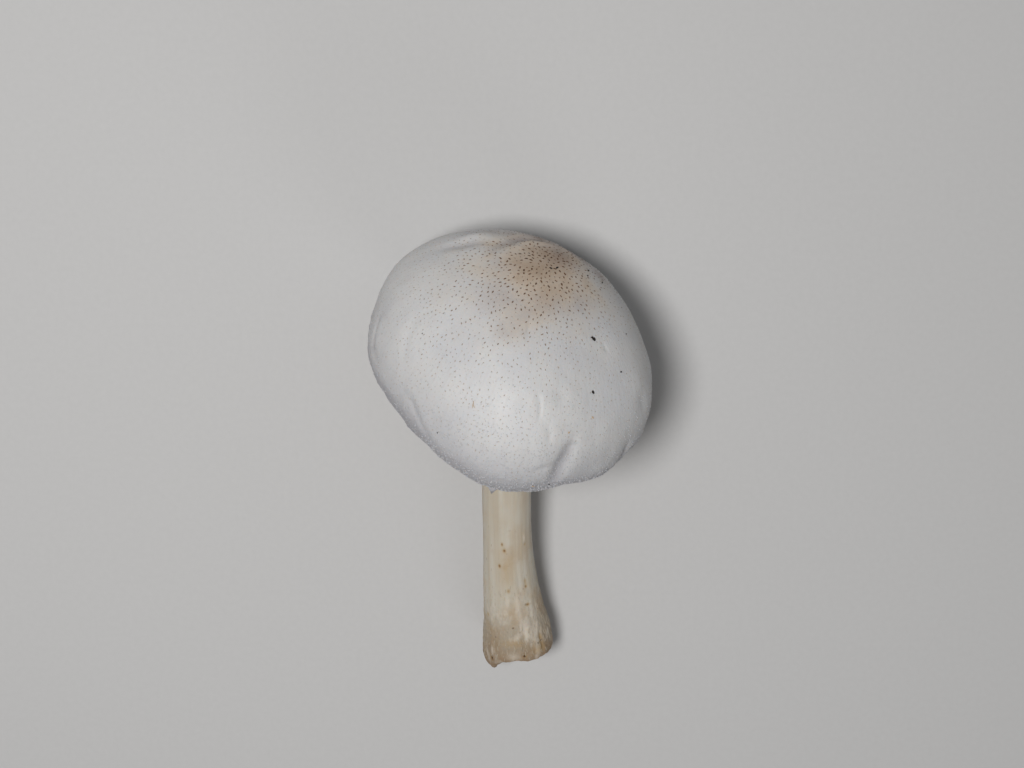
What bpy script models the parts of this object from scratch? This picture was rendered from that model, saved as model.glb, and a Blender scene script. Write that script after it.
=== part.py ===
# A white shield-cap mushroom, picked and laid on its side.
# It rests on the edge of its cap and on its foot: +Y runs from the foot to the cap, and +Z is up.
# Each shape is worked out in metres from the dimensions below, so changing one of them reshapes the mushroom.

import math

import bmesh
import bpy
import numpy as np
from mathutils import Matrix, Vector

MM = 0.001
GILL_GAP = 0.45 * MM
STEM_GAP = 0.6 * MM

# The cap, measured from the level where it is widest, with its own +Z towards the disc.
CAP_RADIUS = 31.8 * MM
# Each wave is (lobes round the rim, height, direction of the first crest in degrees).
CAP_WAVES = (
    (1, 4.8 * MM, -104),
    (2, 2.0 * MM, -41),
    (3, 0.9 * MM, 33),
    (4, 0.35 * MM, -12),
    (5, 0.25 * MM, -13),
    (6, 0.35 * MM, -27),
)
DOME_HEIGHT = 28.0 * MM
MARGIN_DROP = 8.0 * MM
MARGIN_ROLL = 7.0 * MM
EDGE_ANGLE = math.radians(148)
FLESH_AT_DISC = 7.0 * MM
FLESH_AT_MARGIN = 1.5 * MM
# The side it lies on is pressed straight, at this distance from the cap's axis.
PRESSED_RADIUS = 25.7 * MM
CAP_SIDES = 72
CAP_RINGS = 13
EDGE_RINGS = 5

# Creases and swellings of the skin: (angle from the disc, direction, half-lengths along and across, height).
SKIN_FOLDS = (
    (83, 293, 13, 2.6, -0.9 * MM),
    (58, 281, 9, 2.2, -0.45 * MM),
    (88, 308, 14, 8.0, 0.6 * MM),
    (92, 323, 12, 2.4, -1.0 * MM),
    (84, 199, 10, 3.5, -0.6 * MM),
    (90, 239, 10, 4.0, -0.6 * MM),
    (44, 160, 6, 9.0, -0.8 * MM),
    (22, 115, 4, 16.0, -0.5 * MM),
)

# The small brown scales, crowded on the disc and thinning outwards.
SCALE_COUNT = 130
SCALE_REACH = math.radians(52)
SCALE_LENGTH = 1.7 * MM
SCALE_WIDTH = 1.0 * MM
SCALE_HEIGHT = 0.45 * MM
SCALE_ROOT = 0.6 * MM
SCALE_RIM = 0.12 * MM
SCALE_SEED = 11

# The gills: long ones from the stem to the margin, with a short one between each two.
GILL_COUNT = 48
GILL_RINGS = 9
SHORT_GILL_RING = 4
GILL_DEPTH = 7.2 * MM
GILL_DEPTH_AT_STEM = 1.4 * MM
GILL_DEPTH_AT_MARGIN = 0.5 * MM
GILL_ROOT = 0.68 * MM
GILL_EDGE = 0.60 * MM
GILL_BED = 0.8 * MM
GILL_OUTER_ANGLE = math.radians(134)
FREE_RING_RADIUS = 7.8 * MM
SHORT_GILL_SHARE = 0.72

# How the cap is held over the table, and how far its edge and the foot are pressed flat.
CAP_ELEVATION = math.radians(25.5)
CAP_TURN = math.radians(17)
CAP_PRESS = 0.4 * MM
FOOT_PRESS = 0.4 * MM

# The stem, from the middle of the foot to its top under the disc.
STEM_RADIUS = 5.6 * MM
FOOT_RADIUS = 9.2 * MM
FOOT_FLARE = 0.37
FOOT_ACROSS = 1.3 * MM
FOOT_BEHIND = 79.2 * MM
FOOT_RISE = math.radians(13)
FOOT_TURN = math.radians(5.8)
STEM_SIDES = 32
STEM_RINGS = 18
FOOT_TURN_IN = 0.82
FOOT_HOLLOW = 1.6 * MM
# The torn end of the foot: (direction, half-width in degrees, length), past the mean end.
FOOT_TEETH = (
    (160, 28, 2.3 * MM),
    (108, 18, -2.4 * MM),
    (66, 20, -2.4 * MM),
    (5, 30, 0.3 * MM),
    (250, 22, 1.1 * MM),
    (300, 14, -0.8 * MM),
)


def smooth_step(x):
    """0 below 0, 1 above 1, and a smooth rise between."""
    x = np.clip(x, 0.0, 1.0)
    return x * x * (3 - 2 * x)


def rim_radius(direction):
    """The cap's widest radius in a direction round its axis."""
    waves = sum(height * math.cos(lobes * (direction - math.radians(crest))) for lobes, height, crest in CAP_WAVES)
    straight = PRESSED_RADIUS / max(math.sin(direction), 0.5)
    return min(CAP_RADIUS + waves, straight)


def cap_point(angle, direction, depth=0.0):
    """The point at an angle from the disc and a direction round the axis, a depth under the smooth skin."""
    radius = rim_radius(direction)
    if angle <= math.pi / 2:
        out, up = radius * math.sin(angle), DOME_HEIGHT * math.cos(angle)
        slope = Vector((math.sin(angle) / radius, math.cos(angle) / DOME_HEIGHT))
    else:
        out = radius - MARGIN_ROLL + MARGIN_ROLL * math.sin(angle)
        up = MARGIN_DROP * math.cos(angle)
        slope = Vector((math.sin(angle) / MARGIN_ROLL, math.cos(angle) / MARGIN_DROP))
    slope.normalize()
    out, up = out - depth * slope.x, up - depth * slope.y
    return Vector((out * math.cos(direction), out * math.sin(direction), up))


def flesh_depth(angle):
    """The cap's flesh is thick under the disc and thin at the margin."""
    share = 0.5 + 0.5 * math.cos(math.pi * min(angle / math.radians(100), 1.0))
    return FLESH_AT_MARGIN + (FLESH_AT_DISC - FLESH_AT_MARGIN) * share


def skin_height(angle, direction):
    """How far the folds lift the skin at a point."""
    lift = 0.0
    for at_angle, at_direction, along, across, height in SKIN_FOLDS:
        off = (math.degrees(direction) - at_direction + 180) % 360 - 180
        sideways = off * math.sin(angle) / across
        outwards = (math.degrees(angle) - at_angle) / along
        lift += height * math.exp(-sideways * sideways - outwards * outwards)
    return lift


def spread(low, high, count):
    """Evenly spaced values, with both ends."""
    return [low + (high - low) * i / (count - 1) for i in range(count)]


def closed_mesh(name, points, faces):
    """A mesh from points and faces, with its faces turned outwards."""
    shape = bmesh.new()
    made = [shape.verts.new(p) for p in points]
    for face in faces:
        shape.faces.new([made[i] for i in face])
    bmesh.ops.recalc_face_normals(shape, faces=shape.faces)
    mesh = bpy.data.meshes.new(name)
    shape.to_mesh(mesh)
    shape.free()
    return mesh


def ring_faces(low, high, count):
    """Quads between two rings of points, given by the index of each ring's first point."""
    return [(low + i, low + (i + 1) % count, high + (i + 1) % count, high + i) for i in range(count)]


def fan_faces(centre, ring, count):
    """Triangles from a centre point to a ring."""
    return [(centre, ring + i, ring + (i + 1) % count) for i in range(count)]


def cap_mesh():
    """The cap: its skin from the disc to the edge, then its flesh's underside back to the middle."""
    directions = [2 * math.pi * i / CAP_SIDES for i in range(CAP_SIDES)]
    dome_angles = spread(0, math.pi / 2, CAP_RINGS)[1:]
    edge_angles = spread(math.pi / 2, EDGE_ANGLE, EDGE_RINGS)[1:]
    skin_angles = dome_angles + edge_angles
    under_angles = spread(math.radians(11), EDGE_ANGLE, CAP_RINGS)[::-1]
    points = [cap_point(0, 0, -skin_height(0, 0))]
    points += [cap_point(a, d, -skin_height(a, d)) for a in skin_angles for d in directions]
    points += [cap_point(a, d, flesh_depth(a)) for a in under_angles for d in directions]
    points.append(cap_point(0, 0, flesh_depth(0)))
    faces = fan_faces(0, 1, CAP_SIDES)
    ring_count = len(skin_angles) + len(under_angles)
    for ring in range(ring_count - 1):
        faces += ring_faces(1 + ring * CAP_SIDES, 1 + (ring + 1) * CAP_SIDES, CAP_SIDES)
    faces += fan_faces(len(points) - 1, 1 + (ring_count - 1) * CAP_SIDES, CAP_SIDES)
    return closed_mesh("cap", points, faces)


def scale_mesh(angle, direction, size):
    """One scale: a low spear pointing away from the disc, its root sunk in the skin."""
    here = cap_point(angle, direction, -skin_height(angle, direction))
    outer = cap_point(angle + 0.01, direction)
    normal = (cap_point(angle, direction) - cap_point(angle, direction, MM)).normalized()
    along = (outer - cap_point(angle, direction)).normalized()
    across = normal.cross(along)
    half = 0.5 * SCALE_LENGTH * size
    side = 0.5 * SCALE_WIDTH * size
    base = [here + along * half, here + across * side, here - along * half, here - across * side]
    peak = here + along * 0.35 * half + normal * SCALE_HEIGHT * size
    points = [p - normal * SCALE_ROOT for p in base] + [p + normal * SCALE_RIM for p in base] + [peak]
    faces = [(3, 2, 1, 0)] + ring_faces(0, 4, 4) + fan_faces(8, 4, 4)
    return closed_mesh("scale", points, faces)


def scale_places():
    """Places on a sunflower spiral, closer together near the disc, each moved a little at random."""
    draw = np.random.default_rng(SCALE_SEED)
    golden = math.pi * (3 - math.sqrt(5))
    for i in range(SCALE_COUNT):
        share = (i + 2) / (SCALE_COUNT + 2)
        angle = SCALE_REACH * share**0.62
        direction = i * golden + draw.uniform(-0.25, 0.25) / math.sqrt(i + 1)
        yield angle, direction, 1.15 - 0.55 * share + draw.uniform(-0.1, 0.1)


def gill_bed_angles(direction):
    """The angles from the disc at which the gills' rings stand, in one direction."""
    under = FLESH_AT_DISC + GILL_GAP + GILL_BED + GILL_DEPTH_AT_STEM
    inner = math.asin(FREE_RING_RADIUS / (rim_radius(direction) - under))
    return spread(inner, GILL_OUTER_ANGLE, GILL_RINGS)


def gill_depth(share):
    """How deep a long gill hangs, from its inner end at 0 to the margin at 1."""
    belly = math.sin(math.pi * share**0.72) ** 0.8
    ends = GILL_DEPTH_AT_STEM * (1 - share) + GILL_DEPTH_AT_MARGIN * share
    return max(ends, ends + (GILL_DEPTH - ends) * belly)


def short_gill_depth(ring):
    """A short gill starts part of the way out and deepens quickly."""
    rise = float(smooth_step((ring - SHORT_GILL_RING + 1) / 2.5))
    return max(GILL_DEPTH_AT_MARGIN, SHORT_GILL_SHARE * rise * gill_depth(ring / (GILL_RINGS - 1)))


def gill_column(points, middle, ring, side, width, depth):
    """Adds the point at one side of a gill, a depth under the gills' bed, and returns its index."""
    angle = gill_bed_angles(middle)[ring]
    below = flesh_depth(angle) + GILL_GAP + GILL_BED + depth
    centre = cap_point(angle, middle, below)
    reach = math.hypot(centre.x, centre.y)
    direction = middle + side * 0.5 * width / reach
    points.append(cap_point(angle, direction, below))
    return len(points) - 1


def gill_rows(points, middle, first_ring, depth_of):
    """The four lines of a gill, as indices by ring: root, edge, edge, root."""
    rows = {}
    for ring in range(first_ring, GILL_RINGS):
        depth = depth_of(ring)
        rows[ring] = [
            gill_column(points, middle, ring, -1, GILL_ROOT, 0),
            gill_column(points, middle, ring, -1, GILL_EDGE, depth),
            gill_column(points, middle, ring, 1, GILL_EDGE, depth),
            gill_column(points, middle, ring, 1, GILL_ROOT, 0),
        ]
    return rows


def gills_mesh():
    """The gills and the thin bed that they hang from, folded out of one sheet."""
    points, faces = [], []
    pitch = 2 * math.pi / GILL_COUNT
    last = GILL_RINGS - 1
    tall = [gill_rows(points, k * pitch, 0, lambda r: gill_depth(r / last)) for k in range(GILL_COUNT)]
    short = [gill_rows(points, (k + 0.5) * pitch, SHORT_GILL_RING, short_gill_depth) for k in range(GILL_COUNT)]
    top = []
    for k in range(GILL_COUNT):
        lines = {}
        for ring in range(GILL_RINGS):
            lines[ring] = []
            for low_point in (tall[k][ring][0], tall[k][ring][3]):
                direction = math.atan2(points[low_point].y, points[low_point].x)
                angle = gill_bed_angles(direction)[ring]
                points.append(cap_point(angle, direction, flesh_depth(angle) + GILL_GAP))
                lines[ring].append(len(points) - 1)
        top.append(lines)
    for k in range(GILL_COUNT):
        following = (k + 1) % GILL_COUNT
        for ring in range(last):
            for rows in (tall[k], short[k]):
                if ring not in rows:
                    continue
                here, there = rows[ring], rows[ring + 1]
                faces += [(here[c], here[c + 1], there[c + 1], there[c]) for c in range(3)]
            right, left = tall[k][ring][3], tall[following][ring][0]
            right_out, left_out = tall[k][ring + 1][3], tall[following][ring + 1][0]
            if ring in short[k]:
                near, far = short[k][ring], short[k][ring + 1]
                faces += [(right, near[0], far[0], right_out), (near[3], left, left_out, far[3])]
            elif ring + 1 in short[k]:
                far = short[k][ring + 1]
                faces += [(right, left, left_out, far[3], far[0], right_out), tuple(far)]
            else:
                faces.append((right, left, left_out, right_out))
            a, b = top[k][ring], top[k][ring + 1]
            c, d = top[following][ring], top[following][ring + 1]
            faces += [(a[0], a[1], b[1], b[0]), (a[1], c[0], d[0], b[1])]
        first, end = tall[k][0], tall[k][last]
        faces += [(top[k][0][0], top[k][0][1], first[3], first[0]), tuple(first)]
        faces.append((top[k][0][1], top[following][0][0], tall[following][0][0], first[3]))
        faces += [(top[k][last][0], top[k][last][1], end[3], end[0]), tuple(end)]
        between = short[k][last]
        faces.append(
            (top[k][last][1], top[following][last][0], tall[following][last][0], between[3], between[0], end[3])
        )
        faces.append(tuple(between))
    return closed_mesh("gills", points, faces)


def cap_frame():
    """The cap's place over the table: its axis points up and towards +Y, turned a little to +X."""
    tip = Matrix.Rotation(CAP_ELEVATION - math.pi / 2, 4, "X")
    turn = Matrix.Rotation(-CAP_TURN, 4, "Z")
    frame = turn @ tip
    lowest = min((frame @ vertex.co).z for vertex in cap_mesh().vertices)
    return Matrix.Translation((0, 0, -lowest - CAP_PRESS)) @ frame


def stem_line(frame, foot_height):
    """The stem's middle line, as its four Bezier handles, from the foot to the flesh under the disc."""
    top = frame @ cap_point(0, 0, flesh_depth(0) + STEM_GAP)
    axis = (frame.to_3x3() @ Vector((0, 0, 1))).normalized()
    foot = Vector((FOOT_ACROSS, -FOOT_BEHIND, foot_height))
    level = math.cos(FOOT_RISE)
    start = Vector((-level * math.sin(FOOT_TURN), level * math.cos(FOOT_TURN), math.sin(FOOT_RISE)))
    reach = (top - foot).length
    return foot, foot + start * reach * 0.36, top - axis * reach * 0.34, top


def on_stem(line, share):
    """The point and the direction of the stem's middle line, a share of the way up."""
    a, b, c, d = line
    rest = 1 - share
    point = rest**3 * a + 3 * rest**2 * share * b + 3 * rest * share**2 * c + share**3 * d
    way = 3 * rest**2 * (b - a) + 6 * rest * share * (c - b) + 3 * share**2 * (d - c)
    return point, way.normalized()


def stem_radius(share):
    """The stem is even above, and flares to the foot."""
    flare = max(0.0, 1 - share / FOOT_FLARE) ** 2
    return STEM_RADIUS + (FOOT_RADIUS - STEM_RADIUS) * flare


def tear(direction):
    """How far the torn end of the foot runs past its mean, in a direction round the stem."""
    length = 0.0
    for at_direction, half_width, tooth in FOOT_TEETH:
        off = (math.degrees(direction) - at_direction + 180) % 360 - 180
        length += tooth * math.exp(-((off / half_width) ** 2))
    return length


def stem_points(line, frame):
    """The stem's rings: a torn, slightly hollow foot, the shaft, and a top that follows the cap's flesh."""
    to_cap = frame.inverted()
    directions = [2 * math.pi * i / STEM_SIDES for i in range(STEM_SIDES)]

    def ring_point(share, direction, scale=1.0, shift=0.0):
        middle, way = on_stem(line, share)
        side = (Vector((1, 0, 0)) - way * way.x).normalized()
        over = side.cross(way)
        radius = stem_radius(share) * scale
        return middle + side * radius * math.cos(direction) + over * radius * math.sin(direction) - way * shift

    foot_middle, foot_way = on_stem(line, 0)
    points = [foot_middle + foot_way * FOOT_HOLLOW]
    points += [ring_point(0, d, 0.45, 0.3 * tear(d) - 0.6 * FOOT_HOLLOW) for d in directions]
    points += [ring_point(0, d, FOOT_TURN_IN, tear(d)) for d in directions]
    points += [ring_point(0.014, d, 0.94, 0.6 * tear(d)) for d in directions]
    shares = [0.034] + spread(0.06, 0.93, STEM_RINGS)
    points += [ring_point(share, d) for share in shares for d in directions]
    for direction in directions:
        meeting = to_cap @ ring_point(0.97, direction)
        angle = math.asin(math.hypot(meeting.x, meeting.y) / (CAP_RADIUS - FLESH_AT_DISC))
        ceiling = cap_point(angle, math.atan2(meeting.y, meeting.x), flesh_depth(angle) + STEM_GAP)
        points.append(frame @ Vector((meeting.x, meeting.y, ceiling.z)))
    points.append(frame @ cap_point(0, 0, flesh_depth(0) + STEM_GAP))
    return points


def resting_line(frame):
    """The stem's middle line with its foot as high as it lies, pressed a little into the table."""
    height = FOOT_RADIUS
    for _ in range(4):
        lowest = min(p.z for p in stem_points(stem_line(frame, height), frame))
        height -= lowest + FOOT_PRESS
    return stem_line(frame, height)


def stem_mesh(line, frame):
    """The stem's surface over its rings, measured from the middle of its foot."""
    points = stem_points(line, frame)
    ring_count = (len(points) - 2) // STEM_SIDES
    faces = fan_faces(0, 1, STEM_SIDES)
    for ring in range(ring_count - 1):
        faces += ring_faces(1 + ring * STEM_SIDES, 1 + (ring + 1) * STEM_SIDES, STEM_SIDES)
    faces += fan_faces(len(points) - 1, 1 + (ring_count - 1) * STEM_SIDES, STEM_SIDES)
    return closed_mesh("stem", [p - line[0] for p in points], faces)


def press_flat(obj):
    """Presses flat what would reach under the table."""
    back = obj.matrix_world.inverted()
    for vertex in obj.data.vertices:
        place = obj.matrix_world @ vertex.co
        if place.z < 0:
            vertex.co = back @ Vector((place.x, place.y, 0))


def finish_of(name, colour, roughness):
    """A plain material of one colour."""
    material = bpy.data.materials.new(name)
    material.use_nodes = True
    shader = material.node_tree.nodes["Principled BSDF"]
    shader.inputs["Base Color"].default_value = (*colour, 1)
    shader.inputs["Roughness"].default_value = roughness
    shader.inputs["Metallic"].default_value = 0
    return material


def place(name, mesh, matrix, material):
    """Puts a mesh in the scene as a named, smoothly shaded object."""
    mesh.materials.append(material)
    mesh.shade_smooth()
    mesh.set_sharp_from_angle(angle=math.radians(40))
    obj = bpy.data.objects.new(name, mesh)
    bpy.context.scene.collection.objects.link(obj)
    obj.matrix_world = matrix
    return obj


def grow_scales(cap):
    """Joins the scales to the cap's skin, and takes their own objects away."""
    scales = bpy.data.collections.new("scales")
    bpy.context.scene.collection.children.link(scales)
    for i, (angle, direction, size) in enumerate(scale_places()):
        obj = bpy.data.objects.new(f"scale_{i:03d}", scale_mesh(angle, direction, size))
        scales.objects.link(obj)
        obj.matrix_world = cap.matrix_world
    union = cap.modifiers.new("scales", "BOOLEAN")
    union.operation = "UNION"
    union.solver = "MANIFOLD"
    union.operand_type = "COLLECTION"
    union.collection = scales
    bpy.context.view_layer.update()
    graph = bpy.context.evaluated_depsgraph_get()
    joined = bpy.data.meshes.new_from_object(cap.evaluated_get(graph))
    cap.modifiers.clear()
    cap.data = joined
    for obj in list(scales.objects):
        bpy.data.objects.remove(obj)
    bpy.data.collections.remove(scales)


def centre_on_origin(objects):
    """Moves the objects so that the middle of the mushroom's underside is the origin."""
    corners = [obj.matrix_world @ vertex.co for obj in objects for vertex in obj.data.vertices]
    low = Vector([min(c[i] for c in corners) for i in range(3)])
    high = Vector([max(c[i] for c in corners) for i in range(3)])
    shift = Matrix.Translation((-(low.x + high.x) / 2, -(low.y + high.y) / 2, -low.z))
    for obj in objects:
        obj.matrix_world = shift @ obj.matrix_world


def build():
    for obj in list(bpy.data.objects):
        bpy.data.objects.remove(obj)
    frame = cap_frame()
    line = resting_line(frame)
    cap = place("cap", cap_mesh(), frame, finish_of("cap_skin", (0.62, 0.60, 0.57), 0.6))
    gills = place("gills", gills_mesh(), frame, finish_of("gill_tissue", (0.66, 0.45, 0.38), 0.7))
    stem_frame = Matrix.Translation(line[0])
    stem = place("stem", stem_mesh(line, frame), stem_frame, finish_of("stem_flesh", (0.66, 0.58, 0.46), 0.55))
    grow_scales(cap)
    for obj in (cap, stem):
        press_flat(obj)
    centre_on_origin([cap, gills, stem])


build()
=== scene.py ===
import math
from functools import partial

import bmesh
import bpy
import numpy as np
from mathutils import Matrix, Vector, noise


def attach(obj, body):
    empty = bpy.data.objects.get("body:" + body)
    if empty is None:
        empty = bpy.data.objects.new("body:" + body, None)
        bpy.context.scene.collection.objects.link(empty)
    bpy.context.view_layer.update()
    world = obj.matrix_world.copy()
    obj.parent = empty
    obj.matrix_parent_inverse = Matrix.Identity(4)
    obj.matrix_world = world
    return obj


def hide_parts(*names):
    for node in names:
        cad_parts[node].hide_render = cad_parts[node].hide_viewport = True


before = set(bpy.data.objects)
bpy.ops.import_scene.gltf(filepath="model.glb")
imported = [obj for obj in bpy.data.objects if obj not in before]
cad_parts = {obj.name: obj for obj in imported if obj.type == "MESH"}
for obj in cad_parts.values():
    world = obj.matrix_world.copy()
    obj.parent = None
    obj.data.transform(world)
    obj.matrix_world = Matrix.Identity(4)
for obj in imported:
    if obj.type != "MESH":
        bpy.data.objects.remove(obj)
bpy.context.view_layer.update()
print("frame loaded:", sorted(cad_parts))

mm = 0.001  # shapes are worked out in millimetres and turned to metres when a mesh is made


# Small helpers for colours, nodes and meshes

def hexColour(text):
    parts = [int(text[i:i + 2], 16) / 255 for i in (1, 3, 5)]
    return [c / 12.92 if c <= 0.04045 else ((c + 0.055) / 1.055) ** 2.4 for c in parts] + [1.0]


def addNode(tree, kind, inputs=None, **settings):
    # of inputs, a value is set, a socket is linked, and a node stands for its first live output
    made = tree.nodes.new(kind)
    for name, value in settings.items():
        setattr(made, name, value)
    for name, value in (inputs or {}).items():
        if isinstance(value, bpy.types.Node):
            value = next(socket for socket in value.outputs if socket.enabled)
        if isinstance(value, bpy.types.NodeSocket):
            tree.links.new(value, made.inputs[name])
        else:
            made.inputs[name].default_value = value
    return made


# Inputs that share a name are given by number. A Math node has 0, 1 and 2. A Map Range turns 0 from the range
# 1 to 2 to the range 3 to 4. A Mix blends by 0 from 2 to 3, or from colour 6 to colour 7. A Random Value lies
# between vectors 0 and 1, or numbers 2 and 3.
smoothStep = {"interpolation_type": "SMOOTHSTEP"}  # the settings that are used most
blend = {"data_type": "RGBA"}
times = {"operation": "MULTIPLY"}
timesPlus = {"operation": "MULTIPLY_ADD"}


def newMaterial(name):
    material = bpy.data.materials.new(name)
    material.use_nodes = True
    material.node_tree.nodes.clear()
    return material, partial(addNode, material.node_tree)


def meshFrom(name, points, faces, attributes):
    # points in mm; attributes hold one value or vector a point
    mesh = bpy.data.meshes.new(name)
    mesh.from_pydata((np.asarray(points) * mm).tolist(), [], faces)
    shape = bmesh.new()
    shape.from_mesh(mesh)
    bmesh.ops.recalc_face_normals(shape, faces=shape.faces)
    shape.to_mesh(mesh)
    shape.free()
    for label, values in attributes.items():
        values = np.asarray(values, np.float32)
        kind, field = ("FLOAT_VECTOR", "vector") if values.ndim == 2 else ("FLOAT", "value")
        mesh.attributes.new(label, kind, "POINT").data.foreach_set(field, values.ravel())
    mesh.shade_smooth()
    return mesh


def ringFaces(first, rings, count):
    faces = []
    for ring in range(rings - 1):
        low, high = first + ring * count, first + (ring + 1) * count
        for i in range(count):
            j = (i + 1) % count
            faces.append((low + i, low + j, high + j, high + i))
    return faces


def fanFaces(centre, ring, count):
    return [(centre, ring + i, ring + (i + 1) % count) for i in range(count)]


def noiseOn(points, size, seed=0.0, detail=1):
    # smooth noise, from about -1 to 1, whose lumps are about size mm across
    shift = Vector((seed * 17.3, seed * 5.1, seed * 9.7))
    return np.array([
        sum(noise.noise(Vector(p) * (2**k / size) + shift) / 2**k for k in range(detail)) for p in points])


def showPiece(name, mesh, material, nodes=()):
    mesh.materials.clear()
    mesh.materials.append(material)
    piece = bpy.data.objects.new(name, mesh)
    bpy.context.scene.collection.objects.link(piece)
    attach(piece, "root")
    if nodes:
        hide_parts(*nodes)
    return piece


# Materials

def makeCapSkin():
    # White shield-cap skin: dry, satin and finely streaked, so it looks like kid leather. It is flushed brown
    # at the disc and turns grey at the margin: partly the thin flesh's own grey, partly painted shade where
    # the skin turns away from the light.
    look = {
        "white": "#d6d6d6", "cool": "#cbccd0", "cream": "#d3c9bb", "tan": "#ceb9a0", "brown": "#937458",
        "bruiseAndShade": "#8f7a70", "marginGreyAndShade": "#a09fa4", "marginTan": "#c9b79c", "creaseShade": "#8f8b93",
        "streak": "#b9b2ad", "flesh": "#ebe3da", "flushSize": 15.0, "flushShare": 0.72, "coreShare": 0.5,
    }
    material, add = newMaterial("white shield-cap skin")
    place = add("ShaderNodeTexCoord").outputs["Object"]
    reach, smear, angle, hollow, flesh = (
        add("ShaderNodeAttribute", attribute_name=name).outputs["Fac"]
        for name in ("reach", "smear", "angle", "hollow", "flesh"))
    streakAt = add("ShaderNodeAttribute", attribute_name="streak").outputs["Vector"]
    broad = add("ShaderNodeTexNoise", {"Vector": place, "Scale": 1 / (10.5 * mm), "Detail": 3.0})
    patchy = add("ShaderNodeTexNoise", {"Vector": place, "Scale": 1 / (4.35 * mm), "Detail": 4.0})
    streaks = add("ShaderNodeTexNoise", {"Vector": streakAt, "Scale": 1.0, "Detail": 4.0})  # 0.5 mm wide
    grain = add("ShaderNodeTexNoise", {"Vector": place, "Scale": 1 / (0.435 * mm), "Detail": 2.0})
    frost = add("ShaderNodeTexVoronoi", {"Vector": place, "Scale": 1 / (0.588 * mm)})

    # the flush spreads unevenly, so noise pushes its reach in and out
    shifted = add("ShaderNodeMath", {0: reach, 1: 13.5}, operation="SUBTRACT")
    shifted = add("ShaderNodeMath", {0: broad, 1: 13.0, 2: shifted}, **timesPlus)
    shifted = add("ShaderNodeMath", {0: patchy, 1: 14.0, 2: shifted}, **timesPlus)
    coolShare = add("ShaderNodeMapRange", {0: broad, 1: 0.35, 2: 0.7, 4: 0.6}, **smoothStep)
    creamShare = add("ShaderNodeMapRange", {0: shifted, 1: 22.0, 2: 8.0, 4: 0.5}, **smoothStep)
    flushShare = add("ShaderNodeMapRange", {0: shifted, 1: look["flushSize"], 2: 3.0, 4: look["flushShare"]},
                     **smoothStep)
    coreShare = add("ShaderNodeMapRange", {0: shifted, 1: 9.0, 2: -1.0, 4: look["coreShare"]}, **smoothStep)
    # the bruise colour follows the smears: partly brown stains, partly painted shade, above all on the row
    # beyond the disc
    bruiseAndShadeShare = add("ShaderNodeMapRange", {0: patchy, 1: 0.3, 2: 0.62, 3: 0.25, 4: 0.8}, **smoothStep)
    bruiseAndShadeShare = add("ShaderNodeMath", {0: smear, 1: bruiseAndShadeShare}, **times)
    streakShare = add("ShaderNodeMapRange", {0: streaks, 1: 0.45, 2: 0.8, 4: 0.16}, **smoothStep)
    # painted shade: the creases are coloured grey by how deep they lie
    creaseShare = add("ShaderNodeMapRange", {0: hollow, 1: 0.12, 2: 0.9, 4: 0.42}, **smoothStep)
    # grey towards the margin: partly the thin flesh's own colour, partly painted shade where the skin turns
    # away from the light
    marginGreyAndShadeShare = add("ShaderNodeMapRange", {0: angle, 1: 60.0, 2: 120.0, 4: 0.82}, **smoothStep)
    rimShare = add("ShaderNodeMapRange", {0: angle, 1: 138.0, 2: 147.0, 4: 0.55}, **smoothStep)
    colour = hexColour(look["white"])
    for share, tint in ((coolShare, "cool"), (creamShare, "cream"), (flushShare, "tan"), (coreShare, "brown"),
                        (bruiseAndShadeShare, "bruiseAndShade"), (streakShare, "streak"), (creaseShare, "creaseShade"),
                        (marginGreyAndShadeShare, "marginGreyAndShade"), (rimShare, "marginTan"), (flesh, "flesh")):
        colour = add("ShaderNodeMix", {0: share, 6: colour, 7: hexColour(look[tint])}, **blend)

    frostShare = add("ShaderNodeMapRange", {0: angle, 1: 74.0, 2: 112.0, 3: 0.05, 4: 0.75}, **smoothStep)
    bump = add("ShaderNodeBump", {"Height": frost, "Strength": frostShare, "Distance": 0.16 * mm})
    bump = add("ShaderNodeBump", {"Height": streaks, "Strength": 0.22, "Distance": 0.16 * mm, "Normal": bump})
    bump = add("ShaderNodeBump", {"Height": grain, "Strength": 0.5, "Distance": 0.1 * mm, "Normal": bump})
    rough = add("ShaderNodeMapRange", {0: patchy, 1: 0.3, 2: 0.7, 3: 0.5, 4: 0.64}, **smoothStep)
    shader = add("ShaderNodeBsdfPrincipled", {
        "Base Color": colour, "Roughness": rough, "IOR": 1.4, "Normal": bump, "Subsurface Weight": 0.3,
        "Subsurface Radius": (1.0, 0.75, 0.6), "Subsurface Scale": 1.2 * mm,
    })
    add("ShaderNodeOutputMaterial", {"Surface": shader})
    return material


def makeScaleTissue():
    # Dried cap fibrils: matt, almost black on the disc, pale brown and thin further out.
    look = {"disc": "#2c1b0d", "near": "#6a4c31", "far": "#b5aa9c"}
    material, add = newMaterial("dried brown cap fibrils")
    reach = add("ShaderNodeAttribute", attribute_name="reach").outputs["Fac"]
    place = add("ShaderNodeTexCoord").outputs["Object"]
    uneven = add("ShaderNodeTexNoise", {"Vector": place, "Scale": 1 / (1.11 * mm), "Detail": 1.0})
    faded = add("ShaderNodeMath", {0: reach, 1: 13.0}, operation="SUBTRACT")
    faded = add("ShaderNodeMath", {0: uneven, 1: 26.0, 2: faded}, **timesPlus)
    nearShare = add("ShaderNodeMapRange", {0: faded, 1: -7.0, 2: 8.0}, **smoothStep)
    farShare = add("ShaderNodeMapRange", {0: faded, 1: 6.0, 2: 27.0}, **smoothStep)
    colour = hexColour(look["disc"])
    for share, tint in ((nearShare, "near"), (farShare, "far")):
        colour = add("ShaderNodeMix", {0: share, 6: colour, 7: hexColour(look[tint])}, **blend)
    shader = add("ShaderNodeBsdfPrincipled", {"Base Color": colour, "Roughness": 0.62, "IOR": 1.45})
    add("ShaderNodeOutputMaterial", {"Surface": shader})
    return material


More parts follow.
